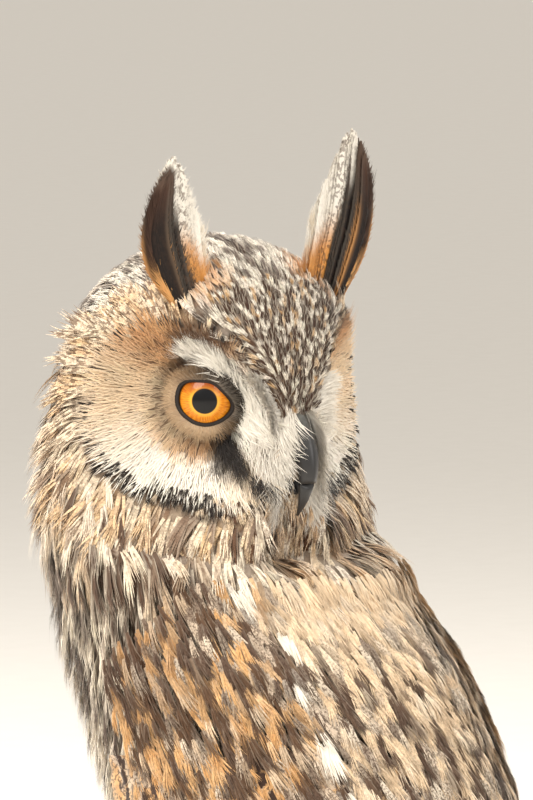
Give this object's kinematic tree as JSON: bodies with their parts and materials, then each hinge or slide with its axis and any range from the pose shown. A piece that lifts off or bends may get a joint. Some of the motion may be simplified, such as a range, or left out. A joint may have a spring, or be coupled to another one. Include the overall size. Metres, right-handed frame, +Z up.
{
  "type": "long-eared owl",
  "caption": "Standing long-eared owl, life size and still, with folded wings, raised ear tufts and its head turned back over the left shoulder.",
  "frame": {"origin": "middle of the bird's plan box, on the floor under its feet", "axes": "+Z up, the body faces -Y, the bird's left side is +X, the head is turned back over the left shoulder"},
  "size_m": [0.125, 0.2226, 0.3777],
  "materials": {
    "body_feathers": "soft matt feathers, buff and cream with dark streaks",
    "face_feathers": "fine soft feathers, buff facial discs with a dark rim",
    "tuft_feathers": "matt near-black feathers with pale inner edges",
    "wing_feathers": "matt brown, buff and grey mottled vanes",
    "tail_feathers": "matt buff vanes with brown bars",
    "foot_feathers": "short soft buff feathers",
    "eye": "wet gloss, orange iris and black pupil",
    "bill_and_claws": "satin dark horn"
  },
  "bodies": {
    "root": {"torso": "body_feathers", "neck": "body_feathers", "head": "face_feathers", "ear_tuft_left": "tuft_feathers", "ear_tuft_right": "tuft_feathers", "eye_left": "eye", "eye_right": "eye", "bill_upper": "bill_and_claws", "bill_lower": "bill_and_claws", "wing_left": "wing_feathers", "wing_right": "wing_feathers", "tail": "tail_feathers", "leg_left": "foot_feathers", "leg_right": "foot_feathers", "foot_left": "foot_feathers", "foot_right": "foot_feathers", "claw_left_1": "bill_and_claws", "claw_left_2": "bill_and_claws", "claw_left_3": "bill_and_claws", "claw_left_4": "bill_and_claws", "claw_right_1": "bill_and_claws", "claw_right_2": "bill_and_claws", "claw_right_3": "bill_and_claws", "claw_right_4": "bill_and_claws"}
  },
  "joints": []
}
